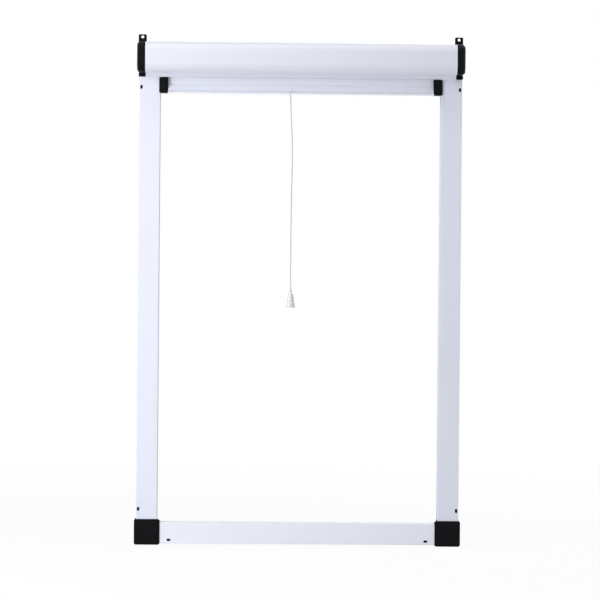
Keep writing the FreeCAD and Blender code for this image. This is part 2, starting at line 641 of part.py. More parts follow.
def make_corner_block(name, side):
    """A square corner block with a soft raised face and a leg into each of its two rails."""
    block = begin(name + "_corner_block")
    front = RAIL_FRONT - BLOCK_STAND
    middle = side * (BLOCK_OUTER - BLOCK_SIDE / 2)
    half = BLOCK_SIDE / 2
    corner, bevel, rim, panel_corner = 2.6, 0.8, 3.4, 2
    face = box(middle - half, 0, middle + half, BLOCK_SIDE, corner)
    pad(block, sketch(block, "XZ", -BACK, [face]), BACK - front)
    soften(block, bevel, lambda edge: near(edge.YMin, front) and near(edge.YMax, front), "Chamfer")
    panel = box(middle - half + rim, rim, middle + half - rim, BLOCK_SIDE - rim, panel_corner)
    pad(block, sketch(block, "XZ", -front, [panel]), PANEL_RISE)
    soften(block, PANEL_RISE * 0.9, lambda edge: near(edge.YMin, front - PANEL_RISE)
           and near(edge.YMax, front - PANEL_RISE), "Chamfer")
    step = box(side * (BLOCK_INNER - 1), SILL_TOP, side * RAIL_INNER, BLOCK_SIDE + 1)
    cut(block, sketch(block, "XZ", -BACK, [step]), BACK - front - FACE_PLATE)
    add_leg(block, side, RAIL_START, RIGHT)

    leg = box(BRUSH_FRONT + LEG_SLACK, SILL_BOTTOM + WALL + LEG_SLACK,
              BRUSH_BACK - LEG_SLACK, SILL_WEB - WALL - LEG_SLACK)
    pad(block, sketch(block, "YZ", side * BLOCK_INNER, [leg]), LEG_REACH, -side)
    add_nib(block, oblong(side * SILL_WINDOW_X, SILL_WINDOW_Z,
                          WINDOW_LONG - 2 * NIB_SLACK, WINDOW_WIDE - 2 * NIB_SLACK))
    return block


def make_bar_slider(name, side):
    """The pull bar's end piece: plug, visible block, cheek, thin tongue between the brushes, guide shoe."""
    slider = begin(name + "_bar_slider")
    lowered, room, slit, tongue_half, plug_long, shoe_corner = 1.8, 0.5, 0.4, 1, 14, 1.5
    shoe_top = SLIDER_TOP - lowered
    block_end = RAIL_INNER - room
    shoe_start = RAIL_INNER + WALL * 2 + SLOT_WIDE + room
    shoe_end = WEB - room
    block = [
        (CHEEK_FRONT, SLIDER_FOOT, SOFT_EDGE),
        (BAR_BACK + SLIDER_PROUD, SLIDER_FOOT, SOFT_EDGE),
        (BAR_BACK + SLIDER_PROUD, SLIDER_TOP, SOFT_EDGE),
        (SCREEN_Y + slit, SLIDER_TOP),
        (SCREEN_Y + slit, shoe_top),
        (SCREEN_Y - slit, shoe_top),
        (SCREEN_Y - slit, SLIDER_TOP),
        (CHEEK_FRONT, SLIDER_TOP, SOFT_EDGE),
    ]
    pad(slider, sketch(slider, "YZ", side * BAR_END, [block]), block_end - BAR_END, side)
    cheek = box(CHEEK_FRONT, SLIDER_FOOT, CHEEK_FRONT + CHEEK_THICK, SLIDER_TOP, SOFT_EDGE)
    reach = RAIL_INNER + CHEEK_OVER - block_end
    pad(slider, sketch(slider, "YZ", side * block_end, [cheek]), reach, side)
    plug = box(BAR_FRONT + WALL + LEG_SLACK, BAR_BOTTOM + RIB + WALL + LEG_SLACK,
               BAR_BACK - WALL - LEG_SLACK, GROOVE_MIDDLE - GROOVE_HALF - WALL - LEG_SLACK)
    pad(slider, sketch(slider, "YZ", side * BAR_END, [plug]), plug_long, -side)
    tongue = box(SCREEN_Y - tongue_half, SLIDER_FOOT, SCREEN_Y + tongue_half, shoe_top)
    pad(slider, sketch(slider, "YZ", side * block_end, [tongue]), shoe_start - block_end, side)
    shoe = box(BRUSH_FRONT + room, SLIDER_FOOT, BRUSH_BACK - room, shoe_top, shoe_corner)
    pad(slider, sketch(slider, "YZ", side * shoe_start, [shoe]), shoe_end - shoe_start, side)
    return slider


# Brush strips, each a woven backing with its pile

def brush_corners(middle, floor, away, tip):
    """The T outline of a brush as (along, away) corners, from its backing on the slot's floor."""
    back, face = floor, floor + BACKING_THICK * away
    wide, pile = BACKING_WIDE / 2, PILE_WIDE / 2
    return [
        (middle - wide, back), (middle + wide, back), (middle + wide, face), (middle + pile, face),
        (middle + pile, tip), (middle - pile, tip), (middle - pile, face), (middle - wide, face),
    ]


BRUSHES = {"front": (BRUSH_FRONT, 1, SCREEN_Y - PILE_GAP), "back": (BRUSH_BACK, -1, SCREEN_Y + PILE_GAP)}


def make_rail_brush(name, side, place):
    brush = begin(f"{name}_rail_{place}_brush")
    corners = [(side * along, away) for along, away in brush_corners(RAIL_SLOT, *BRUSHES[place])]
    pad(brush, sketch(brush, "XY", RAIL_START, [corners]), CASSETTE_FLOOR - RAIL_START)


def make_cassette_brush(place):
    brush = begin(f"cassette_{place}_brush")
    corners = [(away, along) for along, away in brush_corners(SLOT_Z, *BRUSHES[place])]
    pad(brush, sketch(brush, "YZ", 0, [corners]), CASSETTE_LENGTH - 2, both_ways=True)


def make_bar_brush():
    brush = begin("bar_bottom_brush")
    corners = brush_corners(SCREEN_Y, BAR_BOTTOM + RIB, -1, BAR_BOTTOM - 1)
    pad(brush, sketch(brush, "YZ", 0, [corners]), BAR_LENGTH - 2, both_ways=True)


# The sprung roller

def make_roller_tube():
    """The roller tube: thin wall, with an inner rib that holds the fabric's bead in an outer groove."""
    tube = begin("roller_tube")
    rings = [(*AXIS, TUBE_ROUND), (*AXIS, TUBE_ROUND - TUBE_WALL)]
    pad(tube, sketch(tube, "YZ", 0, circles=rings), TUBE_END * 2, both_ways=True)
    half = GROOVE_WIDE / 2
    rib = box(ROLLER_Y - half - TUBE_WALL, KEY_FLOOR, ROLLER_Y + half + TUBE_WALL,
              ROLLER_Z + TUBE_ROUND - TUBE_WALL * 0.9)
    pad(tube, sketch(tube, "YZ", 0, [rib]), TUBE_END * 2, both_ways=True)
    groove = box(ROLLER_Y - half, KEY_FLOOR + TUBE_WALL, ROLLER_Y + half, ROLLER_Z + TUBE_ROUND + 1)
    cut(tube, sketch(tube, "YZ", -TUBE_END, [groove]), TUBE_END * 2)


def keyed_plug(body, start, end):
    """A round plug from start to end that fits the tube and straddles its rib."""
    way = RIGHT if end.value > start.value else LEFT
    length = (end - start) * way
    pad(body, sketch(body, "YZ", start, circles=[(*AXIS, PLUG_ROUND)]), length, way)
    half = KEY_WIDE / 2
    key = box(ROLLER_Y - half, KEY_FLOOR - 0.2, ROLLER_Y + half, ROLLER_Z + TUBE_ROUND)
    cut(body, sketch(body, "YZ", start, [key]), length, way)


def make_roller_ends():
    """The idler plug with its pin on the left, and on the right the plug that turns on the shaft."""
    idler = begin("roller_idler_plug")
    keyed_plug(idler, -TUBE_END, -TUBE_END + PLUG_REACH)
    pad(idler, sketch(idler, "YZ", -TUBE_END, circles=[(*AXIS, TUBE_ROUND)]), FLANGE, LEFT)
    pin_start, pin_short = TUBE_END + FLANGE, 1
    pin = sketch(idler, "YZ", -pin_start, circles=[(*AXIS, PIN_ROUND)])
    pad(idler, pin, CASSETTE_END - pin_start - pin_short, LEFT)

    bearing = begin("roller_spring_plug")
    keyed_plug(bearing, TUBE_END, TUBE_END - PLUG_REACH)
    pad(bearing, sketch(bearing, "YZ", TUBE_END, circles=[(*AXIS, TUBE_ROUND)]), FLANGE)
    bore = sketch(bearing, "YZ", TUBE_END - PLUG_REACH, circles=[(*AXIS, SHAFT_ROUND + RUNNING)])
    cut(bearing, bore, FLANGE + PLUG_REACH)

    anchor = begin("spring_anchor")
    spigot_long = 6
    keyed_plug(anchor, COIL_START - ANCHOR_LONG, COIL_START)
    spigot = sketch(anchor, "YZ", COIL_START, circles=[(*AXIS, COIL_ROUND - COIL_WIRE - RUNNING)])
    pad(anchor, spigot, spigot_long)
    bore = sketch(anchor, "YZ", COIL_START - ANCHOR_LONG, circles=[(*AXIS, SHAFT_ROUND + RUNNING)])
    cut(anchor, bore, ANCHOR_LONG + spigot_long)


def make_spring_and_shaft():
    """The fixed shaft with its square end and collar, and the torsion spring as a close-wound sleeve."""
    shaft = begin("spring_shaft")
    start, end = COIL_START - ANCHOR_LONG - 2, CASSETTE_END - PLUG_DEEP
    rod = sketch(shaft, "YZ", start, circles=[(*AXIS, SHAFT_ROUND)])
    pad(shaft, rod, end - start)
    collar = sketch(shaft, "YZ", COIL_END - COLLAR_LONG, circles=[(*AXIS, COIL_ROUND - COIL_WIRE - RUNNING)])
    pad(shaft, collar, COLLAR_LONG)
    half = SOCKET_WIDE / 2 - 2 * RUNNING
    key = box(ROLLER_Y - half, ROLLER_Z - half, ROLLER_Y + half, ROLLER_Z + half)
    pad(shaft, sketch(shaft, "YZ", end, [key]), PLUG_DEEP)

    spring = begin("torsion_spring")
    rings = [(*AXIS, COIL_ROUND), (*AXIS, COIL_ROUND - COIL_WIRE)]
    pad(spring, sketch(spring, "YZ", COIL_START, circles=rings), COIL_END - COIL_START)


def bore_end_caps(left, right):
    """The left boss takes the idler pin, and the right one holds the shaft's square end still."""
    start = CASSETTE_END - PLUG_DEEP
    pin = sketch(left, "YZ", -start, circles=[(*AXIS, PIN_ROUND + RUNNING)])
    cut(left, pin, PLUG_DEEP, LEFT)
    half = SOCKET_WIDE / 2
    socket = box(ROLLER_Y - half, ROLLER_Z - half, ROLLER_Y + half, ROLLER_Z + half)
    cut(right, sketch(right, "YZ", start, [socket]), PLUG_DEEP)


# The fabric: the wound roll, the short run down to the bar, and the beads along its two edges

def make_fabric():
    roll = begin("screen_roll")
    rings = [(*AXIS, ROLL_ROUND), (*AXIS, TUBE_ROUND + RUNNING)]
    pad(roll, sketch(roll, "YZ", 0, circles=rings), SCREEN_WIDTH, both_ways=True)

    cloth = begin("screen_cloth")
    bead_top = GROOVE_MIDDLE + BEAD_ROUND
    half = SCREEN_THICK / 2
    sheet_section = box(SCREEN_Y - half, bead_top + 0.1, SCREEN_Y + half, ROLLER_Z)
    pad(cloth, sketch(cloth, "YZ", 0, [sheet_section]), SCREEN_WIDTH, both_ways=True)

    bar_bead = begin("bar_bead")
    round_bead = [(SCREEN_Y, GROOVE_MIDDLE, BEAD_ROUND)]
    pad(bar_bead, sketch(bar_bead, "YZ", 0, circles=round_bead), BAR_LENGTH - 2, both_ways=True)

    tube_bead = begin("tube_bead")
    middle = KEY_FLOOR + TUBE_WALL + GROOVE_WIDE / 2
    small = [(ROLLER_Y, middle, GROOVE_WIDE / 2 - RUNNING)]
    pad(tube_bead, sketch(tube_bead, "YZ", 0, circles=small), SCREEN_WIDTH, both_ways=True)


# The pull cord with its knot on the lip and its bell

CORD_ROUTE = [
    (-13.1, 0, KNOT_SEAT.value),
    (-12.4, 0.1, 540),
    (-10.5, -0.3, 507),
    (-9.8, -0.2, 478),
    (-10.8, 0.2, 440),
    (-11.3, -0.2, 354),
    (-10.8, 0, NECK_TOP.value),
]


def tangent_path(points):
    """Straight runs joined by tangent arcs, each as large as 0.45 of its shorter run allows."""
    edges, here, radii = [], points[0], []
    for before, corner, after in zip(points, points[1:], points[2:]):
        way_in, way_out = (corner - before).normalize(), (after - corner).normalize()
        turn = way_in.getAngle(way_out)
        reach = 0.45 * min((corner - before).Length, (after - corner).Length)
        radius = reach / math.tan(turn / 2)
        first, last = corner - way_in * reach, corner + way_out * reach
        bisector = (way_out - way_in).normalize()
        centre = corner + bisector * (radius / math.cos(turn / 2))
        edges.append(Part.LineSegment(here, first).toShape())
        edges.append(Part.Arc(first, centre - bisector * radius, last).toShape())
        here = last
        radii.append(round(radius))
    edges.append(Part.LineSegment(here, points[-1]).toShape())
    print("cord arc radii, mm:", radii)
    return Part.Wire(edges)


def finish_shape(label, shape):
    """Keeps a piece whose form comes straight from Part's own functions."""
    piece = doc.addObject("Part::Feature", label)
    piece.Label = label
    piece.Shape = shape
    piece.Placement = Placement(Vector(0, 0, 0), Rotation())
    finished.append(piece)
    return piece


def make_cord():
    """The cord, from the underside of its knot through the lip and down to the neck of the bell."""
    points = [Vector(x, CORD_OUT.value + y, z) for x, y, z in CORD_ROUTE]
    path = tangent_path(points)
    way = (points[1] - points[0]).normalize()
    ring = Part.Wire(Part.makeCircle(CORD_THICK.value / 2, points[0], way))
    tube = path.makePipeShell([ring], True, False)
    expected = math.pi * (CORD_THICK.value / 2) ** 2 * path.Length
    print("cord length, mm:", round(path.Length, 1), "volume ratio:", round(tube.Volume / expected, 4))
    if abs(tube.Volume / expected - 1) > 0.01:
        raise RuntimeError("the cord's tube has the wrong volume")
    finish_shape("pull_cord", tube)


def make_knot():
    """The knot: a small round lump that rests on the finger lip."""
    knot = begin("cord_knot")
    half = KNOT_WIDE / 2
    outline = [
        (0, KNOT_SEAT),
        (half * 0.6, KNOT_SEAT),
        (half, KNOT_SEAT + half * 0.5),
        (half, KNOT_SEAT + half * 1.2),
        (half * 0.6, KNOT_SEAT + half * 1.8),
        (0, KNOT_SEAT + half * 1.8),
    ]
    turn_about(knot, outline, CORD_ROUTE[0][0], CORD_OUT)


def make_bell():
    """The bell: a neck for the cord, a bevelled shoulder, a flared skirt and a stepped hollow."""
    bell = begin("cord_bell")
    mouth = BELL_SHOULDER - BELL_HEIGHT
    lip, top = BELL_MOUTH / 2, BELL_TOP / 2
    bevel, rim_high, shoulder, waist, groove = 0.6, 2.2, 1.2, NECK_ROUND * 0.75, 1.3
    outline = [
        (0, mouth + BELL_DEEP),
        (BELL_BORE / 2, mouth + BELL_DEEP),
        (BELL_BORE / 2, mouth + MOUTH_DEEP),
        (lip - BELL_WALL - bevel, mouth + MOUTH_DEEP),
        (lip - BELL_WALL - bevel, mouth),
        (lip - bevel, mouth),
        (lip, mouth + bevel),
        (lip, mouth + rim_high),
        (top + bevel / 2, BELL_SHOULDER - shoulder * 1.5),
        (top - shoulder, BELL_SHOULDER),
        (waist, BELL_SHOULDER),
        (waist, BELL_SHOULDER + groove),
        (NECK_ROUND, BELL_SHOULDER + groove),
        (NECK_ROUND, NECK_TOP - bevel),
        (NECK_ROUND - bevel, NECK_TOP),
        (0, NECK_TOP),
    ]
    turn_about(bell, outline, CORD_ROUTE[-1][0], CORD_OUT)


def turn_about(body, outline, across, out):
    """Revolves an outline of (radius, height) corners about the upright line at across, out."""
    drawing = sketch(body, "XZ", -out, [outline])
    bind(drawing, "AttachmentOffset.Base.x", across)
    turned = body.newObject("PartDesign::Revolution", body.Label + "_turned")
    turned.Profile = drawing
    turned.ReferenceAxis = (drawing, ["V_Axis"])
    turned.Angle = 360


# Building and writing

def check_everything():
    for thing in doc.Objects:
        if "Invalid" in thing.State or "Error" in thing.State:
            raise RuntimeError(f"{thing.Label} failed: {thing.State}")
    for piece in finished:
        if piece.Shape.isNull() or not piece.Shape.isValid() or piece.Shape.Volume <= 0:
            raise RuntimeError(f"{piece.Label} has no valid shape")
        if len(piece.Shape.Solids) != 1:
            raise RuntimeError(f"{piece.Label} has {len(piece.Shape.Solids)} solids")


def main():
    make_cassette()
    make_bottom_rail()
    caps = {name: make_end_cap(name, side) for name, side in SIDES.items()}
    bore_end_caps(caps["left"], caps["right"])
    for name, side in SIDES.items():
        make_guide_rail(name, side)
        make_corner_block(name, side)
        make_bar_slider(name, side)
        for place in BRUSHES:
            make_rail_brush(name, side, place)
    for place in BRUSHES:
        make_cassette_brush(place)
    make_pull_bar()
    make_bar_brush()
    make_roller_tube()
    make_roller_ends()
    make_spring_and_shaft()
    make_fabric()
    make_knot()
    make_cord()
    make_bell()
    doc.recompute()
    check_everything()
    for piece in finished:
        piece.Shape.exportStep(f"parts/{piece.Label}.step")
        size = piece.Shape.BoundBox
        print(f"{piece.Label:26s} x {size.XMin:8.2f} {size.XMax:8.2f}  y {size.YMin:7.2f} {size.YMax:7.2f}"
              f"  z {size.ZMin:7.2f} {size.ZMax:7.2f}  volume {piece.Shape.Volume:9.1f}")


main()
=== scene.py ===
"""Looks of a retractable window screen frame, in metres, +Z up, the room side towards -Y."""

import math
import random

import bpy
from mathutils import Matrix, Vector


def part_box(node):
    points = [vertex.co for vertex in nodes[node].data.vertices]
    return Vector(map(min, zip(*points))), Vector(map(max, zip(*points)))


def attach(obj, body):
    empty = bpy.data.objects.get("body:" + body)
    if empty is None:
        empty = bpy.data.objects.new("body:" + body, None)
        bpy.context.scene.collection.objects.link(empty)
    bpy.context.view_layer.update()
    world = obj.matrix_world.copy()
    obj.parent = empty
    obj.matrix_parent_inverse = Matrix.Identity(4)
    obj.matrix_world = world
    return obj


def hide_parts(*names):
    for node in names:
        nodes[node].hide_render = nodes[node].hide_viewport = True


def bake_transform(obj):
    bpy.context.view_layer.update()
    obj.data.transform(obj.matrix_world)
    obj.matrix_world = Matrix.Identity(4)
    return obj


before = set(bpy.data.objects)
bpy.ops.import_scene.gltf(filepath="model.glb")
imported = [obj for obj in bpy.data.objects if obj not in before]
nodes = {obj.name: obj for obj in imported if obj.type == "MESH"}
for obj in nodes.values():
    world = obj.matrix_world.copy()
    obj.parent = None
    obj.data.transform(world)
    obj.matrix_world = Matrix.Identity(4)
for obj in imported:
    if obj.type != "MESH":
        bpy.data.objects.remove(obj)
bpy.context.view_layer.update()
scene = bpy.context.scene
scene.view_settings.view_transform = "Standard"
MM = 0.001
LEFT, RIGHT = -1, 1


# Camera, as the photograph was taken: square on, a little from the left, and turned by half a degree

CAMERA_PLACE = Vector((-57.3, -3200, 340.3)) * MM
CAMERA_YAW = math.radians(-1.045)
CAMERA_PITCH = math.radians(-0.633)
CAMERA_ROLL = math.radians(-0.505)
CAMERA_FIELD = math.radians(13.244)


def make_camera():
    camera = bpy.data.objects.new("camera", bpy.data.cameras.new("camera"))
    scene.collection.objects.link(camera)
    turn = (Matrix.Rotation(CAMERA_YAW, 4, "Z") @ Matrix.Rotation(CAMERA_PITCH, 4, "X")
            @ Matrix.Rotation(CAMERA_ROLL, 4, "Y"))
    camera.matrix_world = Matrix.Translation(CAMERA_PLACE) @ turn @ Matrix.Rotation(math.pi / 2, 4, "X")
    camera.data.angle = CAMERA_FIELD
    camera.data.clip_end = 40
    scene.camera = camera


# Shader helpers

def linear(hex_colour):
    """An sRGB hex colour as the linear values that a shader takes."""
    parts = [int(hex_colour[i:i + 2], 16) / 255 for i in (1, 3, 5)]
    return tuple(c / 12.92 if c <= 0.04045 else ((c + 0.055) / 1.055) ** 2.4 for c in parts) + (1,)


def add(tree, kind, inputs=None, **settings):
    """Adds one node with its settings. An input takes a value or another node's output."""
    node = tree.nodes.new("ShaderNode" + kind)
    for name, value in settings.items():
        setattr(node, name, value)
    for name, value in (inputs or {}).items():
        if isinstance(value, bpy.types.NodeSocket):
            tree.links.new(value, node.inputs[name])
        else:
            node.inputs[name].default_value = value
    return node


def per_metre(size_mm):
    """The scale of a pattern whose features are this many millimetres apart."""
    return 1 / (size_mm * MM)


def new_finish(name, shader):
    """A material with one Principled shader. Returns it, its tree, the shader and its place in metres."""
    material = bpy.data.materials.new(name)
    material.use_nodes = True
    tree = material.node_tree
    tree.nodes.clear()
    surface = add(tree, "BsdfPrincipled", shader)
    output = add(tree, "OutputMaterial")
    tree.links.new(surface.outputs["BSDF"], output.inputs["Surface"])
    place = add(tree, "TexCoord").outputs["Object"]
    return material, tree, surface, place


def two_colours(tree, surface, share, first, second):
    """Colours the surface from the first hex colour to the second, by the share of the second."""
    colour = add(tree, "Mix", {"Factor": share, "A": linear(first), "B": linear(second)}, data_type="RGBA")
    result = next(o for o in colour.outputs if o.type == "RGBA")
    tree.links.new(result, surface.inputs["Base Color"])
    return result


def mottle(tree, surface, place, size_mm, pale, deep):
    """A soft cloud of two near colours, the slight unevenness of a real surface."""
    cloud = add(tree, "TexNoise", {"Vector": place, "Scale": per_metre(size_mm), "Detail": 3})
    return two_colours(tree, surface, cloud.outputs["Fac"], pale, deep)


def vary_roughness(tree, surface, height, low, high):
    """Roughness that follows a pattern, from low to high."""
    spread = add(tree, "MapRange", {"Value": height, "To Min": low, "To Max": high})
    tree.links.new(spread.outputs["Result"], surface.inputs["Roughness"])


def relief(tree, surface, height, depth_mm, strength=1.0):
    """Bump of a real depth in millimetres."""
    bump = add(tree, "Bump", {"Height": height, "Distance": depth_mm * MM, "Strength": strength})
    tree.links.new(bump.outputs["Normal"], surface.inputs["Normal"])


# Finishes

def white_powder_coat(name, pale, deep):
    """Polyester powder baked on aluminium: satin, with the faint orange peel of melted grains."""
    material, tree, surface, place = new_finish(name, {"IOR": 1.5, "Specular IOR Level": 0.4})
    mottle(tree, surface, place, 90, pale, deep)
    peel = add(tree, "TexNoise", {"Vector": place, "Scale": per_metre(1.6), "Detail": 2})
    vary_roughness(tree, surface, peel.outputs["Fac"], 0.38, 0.48)
    relief(tree, surface, peel.outputs["Fac"], 0.03, 0.5)
    return material


def black_nylon():
    """Glass-filled nylon from a spark-eroded mould: dull black with a fine even grain."""
    material, tree, surface, place = new_finish("black_nylon", {"IOR": 1.53, "Specular IOR Level": 0.06})
    mottle(tree, surface, place, 14, "#101013", "#0B0B0D")
    # The real grain is about 0.1 mm, too fine to show, so it is drawn coarser.
    grain = add(tree, "TexNoise", {"Vector": place, "Scale": per_metre(0.35), "Detail": 2})
    vary_roughness(tree, surface, grain.outputs["Fac"], 0.42, 0.62)
    relief(tree, surface, grain.outputs["Fac"], 0.02, 0.6)
    return material


def mill_aluminium():
    """Bare extruded tube: bright, with fine die lines along its length."""
    material, tree, surface, place = new_finish("mill_aluminium", {"Metallic": 1.0})
    lengthways = add(tree, "Mapping", {"Vector": place, "Scale": (0.01, 1, 1)})
    lines = add(tree, "TexNoise", {"Vector": lengthways.outputs["Vector"], "Scale": per_metre(0.4), "Detail": 4})
    mottle(tree, surface, place, 30, "#C6C8CA", "#B9BBBE")
    vary_roughness(tree, surface, lines.outputs["Fac"], 0.22, 0.42)
    relief(tree, surface, lines.outputs["Fac"], 0.01, 0.5)
    return material


def plated_steel():
    """Zinc-plated steel: cool grey, a little cloudy from the bath."""
    material, tree, surface, place = new_finish("plated_steel", {"Metallic": 1.0})
    cloud = mottle(tree, surface, place, 6, "#BFC3C8", "#A7ACB3")
    vary_roughness(tree, surface, cloud, 0.2, 0.4)
    return material


def grey_acetal():
    """Acetal: slightly waxy grey moulding."""
    material, tree, surface, place = new_finish("grey_acetal", {"IOR": 1.48})
    cloud = mottle(tree, surface, place, 8, "#85888C", "#7B7E83")
    vary_roughness(tree, surface, cloud, 0.34, 0.44)
    return material


def bead_vinyl():
    """Soft vinyl cord: dull dark grey."""
    material, tree, surface, place = new_finish("bead_vinyl", {"IOR": 1.52})
    cloud = mottle(tree, surface, place, 3, "#3A3B3D", "#303133")
    vary_roughness(tree, surface, cloud, 0.55, 0.7)
    return material


def brush_pile(name, pale, deep):
    """Polypropylene pile: matt fibres whose ends catch a little light."""
    material, tree, surface, place = new_finish(name, {"IOR": 1.49, "Sheen Weight": 0.25, "Sheen Roughness": 0.5})
    fibre = mottle(tree, surface, place, 0.5, pale, deep)
    vary_roughness(tree, surface, fibre, 0.6, 0.8)
    return material


MESH_PITCH_MM = 1.8   # the real 1.4 mm mesh, drawn a little coarser so that it shows
THREAD_MM = 0.42


def thread_band(tree, along):
    """1 on a thread and 0 in the gap, for threads that cross this coordinate at the mesh's pitch."""
    turns = add(tree, "Math", {0: along, 1: per_metre(MESH_PITCH_MM)}, operation="MULTIPLY")
    wave = add(tree, "Math", {0: turns.outputs[0]}, operation="PINGPONG")
    wave.inputs[1].default_value = 0.5
    edge = THREAD_MM / MESH_PITCH_MM / 2
    band = add(tree, "MapRange", {"Value": wave.outputs[0], "From Min": edge * 0.8, "From Max": edge * 1.2,
                                  "To Min": 1, "To Max": 0}, interpolation_type="SMOOTHSTEP")
    return band.outputs["Result"]


def insect_mesh():
    """Vinyl-coated glass fibre mesh: dark grey threads with open squares between them."""
    material, tree, surface, place = new_finish("insect_mesh", {"IOR": 1.5, "Base Color": linear("#4A4C50")})
    axes = add(tree, "SeparateXYZ", {"Vector": place})
    upright, level = thread_band(tree, axes.outputs["X"]), thread_band(tree, axes.outputs["Z"])
    threads = add(tree, "Math", {0: upright, 1: level}, operation="MAXIMUM")
    knuckle = add(tree, "Math", {0: upright, 1: level}, operation="ADD")
    tree.links.new(threads.outputs[0], surface.inputs["Alpha"])
    relief(tree, surface, knuckle.outputs[0], 0.15)
    vary_roughness(tree, surface, knuckle.outputs[0], 0.6, 0.45)
    return material


def wound_mesh():
    """The same mesh in layers on the roller, too deep to see through."""
    material, tree, surface, place = new_finish("wound_mesh", {"IOR": 1.5})
    axes = add(tree, "SeparateXYZ", {"Vector": place})
    ribs = thread_band(tree, axes.outputs["X"])
    # The gaps between threads are painted dark: painted shade of the layers under them.
    two_colours(tree, surface, ribs, "#2B2C2F", "#505257")
    vary_roughness(tree, surface, ribs, 0.7, 0.5)
    relief(tree, surface, ribs, 0.15)
    return material


CORD_THICK = 1.4 * MM
BRAID_PITCH_MM = 2.0
BRAID_STRANDS = 4


def braided_cord(name, length, pale, deep):
    """Braided white polyester: small raised strands that cross both ways round the cord."""
    material, tree, surface, _ = new_finish(name, {"IOR": 1.5, "Sheen Weight": 0.2, "Roughness": 0.62})
    axes = add(tree, "SeparateXYZ", {"Vector": add(tree, "TexCoord").outputs["UV"]})
    turns = length / (BRAID_PITCH_MM * MM)
    strands = []
    for way in (LEFT, RIGHT):
        along = add(tree, "Math", {0: axes.outputs["X"], 1: turns * 2 * math.pi}, operation="MULTIPLY")
        phase = add(tree, "Math", {0: axes.outputs["Y"], 1: way * BRAID_STRANDS * 2 * math.pi,
                                   2: along.outputs[0]}, operation="MULTIPLY_ADD")
        strands.append(add(tree, "Math", {0: phase.outputs[0]}, operation="SINE").outputs[0])
    weave = add(tree, "Math", {0: strands[0], 1: strands[1]}, operation="MAXIMUM")
    shade = add(tree, "MapRange", {"Value": weave.outputs[0], "From Min": -1, "From Max": 1})
    # Deep between the strands and pale on their crowns: painted shade in the grooves.
    two_colours(tree, surface, shade.outputs["Result"], deep, pale)
    relief(tree, surface, shade.outputs["Result"], 0.12)
    return material


def pearl_plastic():
    """Moulded pearl-white ABS: glossy, slightly translucent, with faint flow clouds."""
    material, tree, surface, place = new_finish("pearl_plastic", {
        "IOR": 1.53, "Subsurface Weight": 0.5, "Subsurface Scale": 1.5 * MM, "Subsurface Radius": (1, 1, 1),
        "Coat Weight": 0.15, "Coat Roughness": 0.15})
    cloud = mottle(tree, surface, place, 5, "#E6E6E5", "#DDDDDC")
    vary_roughness(tree, surface, cloud, 0.22, 0.32)
    return material


# Mesh helpers

def new_piece(name, points, faces, material, body, smooth=True):
    """A mesh piece in the frame's metres that rides on one body."""
    data = bpy.data.meshes.new(name)
    data.from_pydata([tuple(p) for p in points], [], faces)
    data.validate()
    data.update()
    if smooth:
        data.polygons.foreach_set("use_smooth", [True] * len(data.polygons))
    piece = bpy.data.objects.new(name, data)
    scene.collection.objects.link(piece)
    data.materials.append(material)
    if body:
        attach(piece, body)
    return piece


def nurbs_line(name, points, thick, material):
    """A smooth round line that starts and ends at its end points and is drawn towards the others."""
    data = bpy.data.curves.new(name, "CURVE")
    data.dimensions = "3D"
    spline = data.splines.new("NURBS")
    spline.points.add(len(points) - 1)
    for place, point in zip(spline.points, points):
        place.co = (*point, 1)
    spline.order_u = 3
    spline.use_endpoint_u = True
    data.resolution_u = 10
    data.bevel_depth = thick / 2
    data.bevel_resolution = 4
    data.use_fill_caps = True
    data.materials.append(material)
    piece = bpy.data.objects.new(name, data)
    scene.collection.objects.link(piece)
    return piece


def capped_tube(ring_count, around):
    """Faces between successive rings of points, and one over each end."""
    faces = []
    for ring in range(ring_count - 1):
        here, after = ring * around, (ring + 1) * around
        for i in range(around):
            following = (i + 1) % around
            faces.append((here + i, here + following, after + following, after + i))
    last = (ring_count - 1) * around
    faces.append(tuple(range(around)))
    faces.append(tuple(reversed(range(last, last + around))))
    return faces


# The pull cord, its knot and its bell

CORD_OUT = -4.5   # mm, as the route is
CORD_ROUTE = [
    (-13.1, 0, 561.9),
    (-12.4, 0.1, 540),
    (-10.5, -0.3, 507),
    (-9.8, -0.2, 478),
    (-10.8, 0.2, 440),
    (-11.3, -0.2, 354),
    (-10.8, 0, 317.8),
]
CORD_LENGTH = 244.2 * MM


def make_cord(material):
    points = [Vector((x, CORD_OUT + y, z)) * MM for x, y, z in CORD_ROUTE]
    cord = nurbs_line("hanging_cord", points, CORD_THICK, material)
    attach(cord, "bar")
    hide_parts("pull_cord")
    return cord, points


KNOT_LENGTH = 13.7 * MM   # along its curve, for the pitch of the braid
KNOT_STEPS = 30
KNOT_SPAN = 2.05   # how far the knot's curve runs each way from its middle


def make_knot(material):
    """An overhand knot, pulled small: up out of the hole, then round and through itself.

    Its curve is the usual one of powers of t, with each part scaled to run from about -1 to 1.
    """
    low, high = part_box("cord_knot")
    middle = (low + high) / 2
    reach = (high.x - low.x - CORD_THICK) / 2
    rise = (high.z - low.z - CORD_THICK) / 2
    points = [middle - Vector((0, 0, rise + CORD_THICK / 2))]
    for step in range(KNOT_STEPS + 1):
        t = -KNOT_SPAN + 2 * KNOT_SPAN * step / KNOT_STEPS
        across, out, up = (t ** 3 - 3 * t) / 2.5, (t ** 4 - 4 * t ** 2 + 2) / 3, (t ** 5 / 5 - 2 * t) / 3.4
        points.append(middle + Vector((across * reach, out * reach, up * rise)))
    knot = nurbs_line("overhand_knot", points, CORD_THICK, material)
    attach(knot, "bar")
    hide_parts("cord_knot")
    return knot


